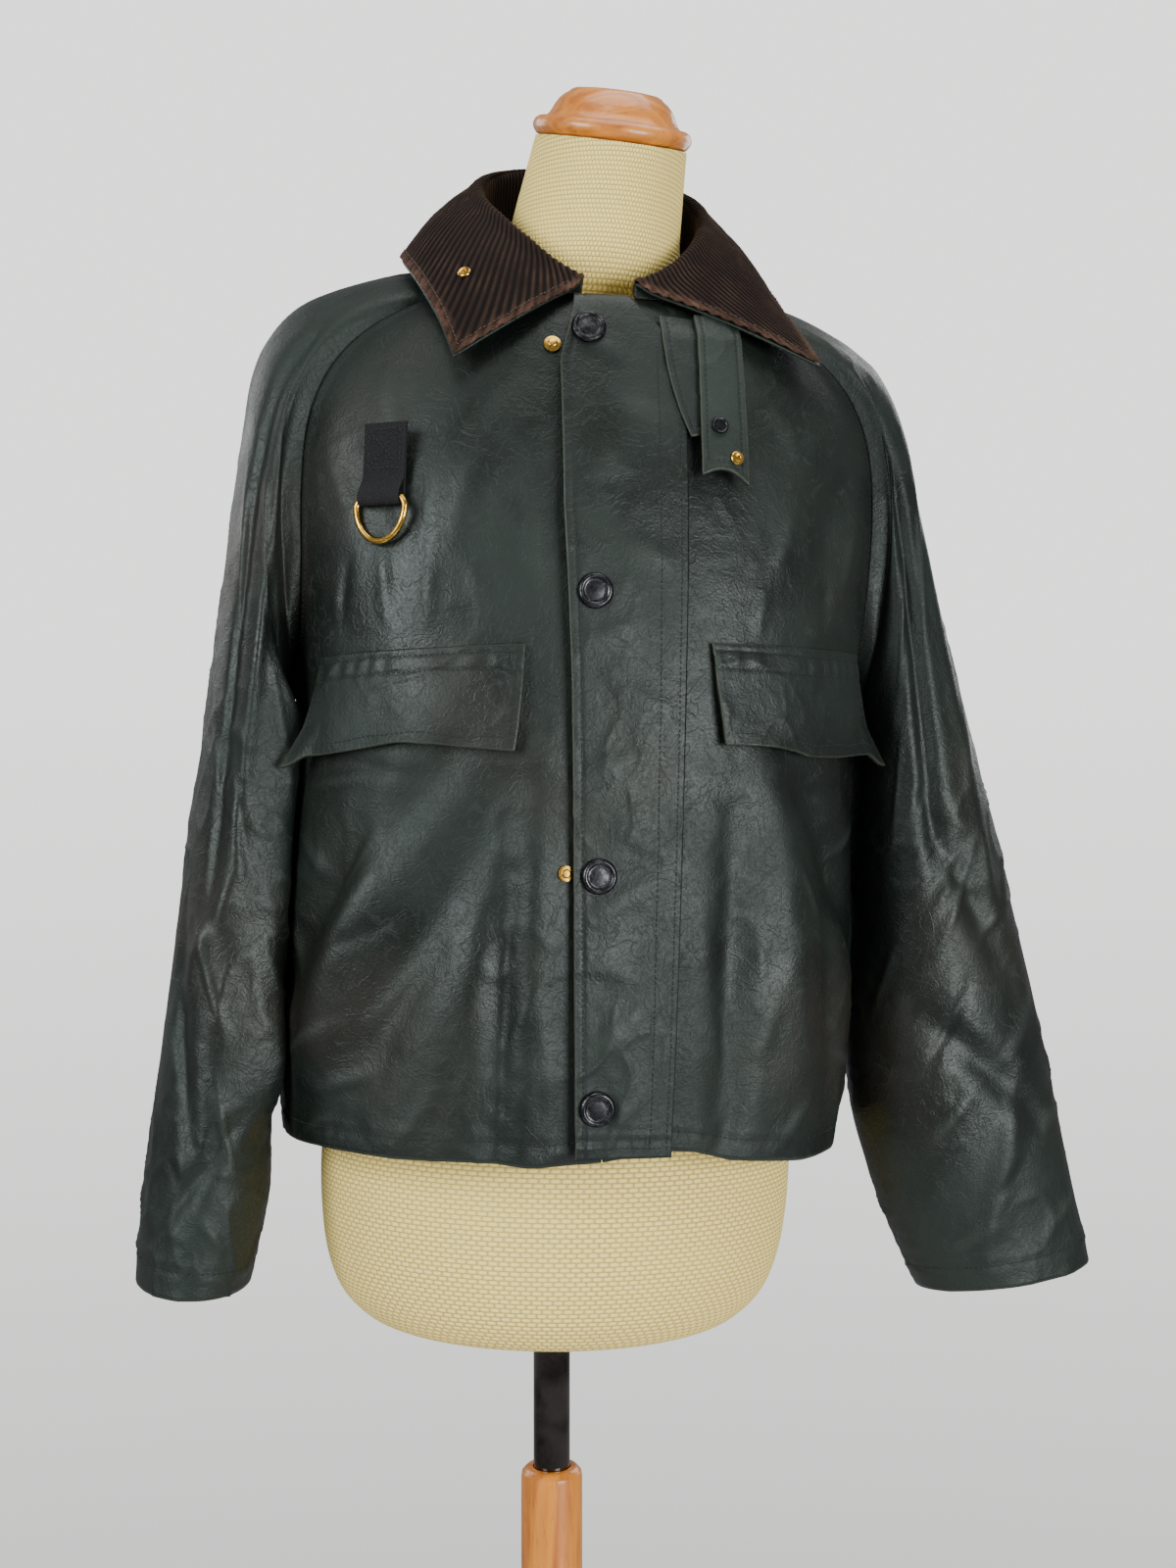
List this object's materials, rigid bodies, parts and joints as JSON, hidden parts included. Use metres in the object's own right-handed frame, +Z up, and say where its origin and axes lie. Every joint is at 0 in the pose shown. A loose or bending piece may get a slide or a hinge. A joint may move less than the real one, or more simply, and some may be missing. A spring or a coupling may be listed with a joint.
{
  "type": "waxed cotton jacket on a dress form",
  "caption": "Short waxed cotton jacket with raglan sleeves, corduroy collar, storm flap and pocket flaps, worn by a limbless dress form on a pole stand.",
  "frame": {"origin": "middle of the stand base's underside, on the pole's axis", "axes": "+Z up along the pole, -Y towards the jacket's front, +X towards the wearer's left"},
  "size_m": [0.6598, 0.38, 1.5846],
  "materials": {
    "waxed_cotton": "waxed, satin sheen",
    "waxed_cotton_under": "waxed, dull",
    "corduroy": "ribbed pile, worn at the edge",
    "webbing": "woven",
    "form_cover": "waffle weave",
    "brass": "polished",
    "snap_metal": "dark antique plating",
    "wood": "clear lacquer",
    "chrome": "polished"
  },
  "bodies": {
    "stand": {"base": "wood", "column": "wood"},
    "jacket": {"front_right": "waxed_cotton", "front_left": "waxed_cotton", "back": "waxed_cotton", "sleeve_right": "waxed_cotton", "sleeve_left": "waxed_cotton", "collar_top": "corduroy", "collar_under": "waxed_cotton_under", "storm_flap": "waxed_cotton", "pocket_flap_right": "waxed_cotton", "pocket_flap_left": "waxed_cotton", "throat_tab": "waxed_cotton_under", "throat_tab_under": "waxed_cotton", "webbing_loop": "webbing", "snap_neck": "snap_metal", "snap_chest": "snap_metal", "snap_waist": "snap_metal", "snap_hem": "snap_metal", "neck_stud": "brass", "tab_snap": "snap_metal", "tab_socket": "brass", "form_torso": "form_cover", "neck_cap": "wood", "pole": "chrome", "waist_stud": "brass", "collar_socket": "brass"},
    "ring": {"d_ring": "brass"}
  },
  "joints": [
    {"name": "height_slide", "type": "slide", "parent": "stand", "child": "jacket", "axis": [0, 0, 1], "range_m": [-0.08, 0.12]},
    {"name": "d_ring_hinge", "type": "hinge", "parent": "jacket", "child": "ring", "pos_m": [-0.12495, -0.10787, 1.29177], "axis": [-0.7341, 0.6786, 0.0256], "range_deg": [0, 130]}
  ]
}
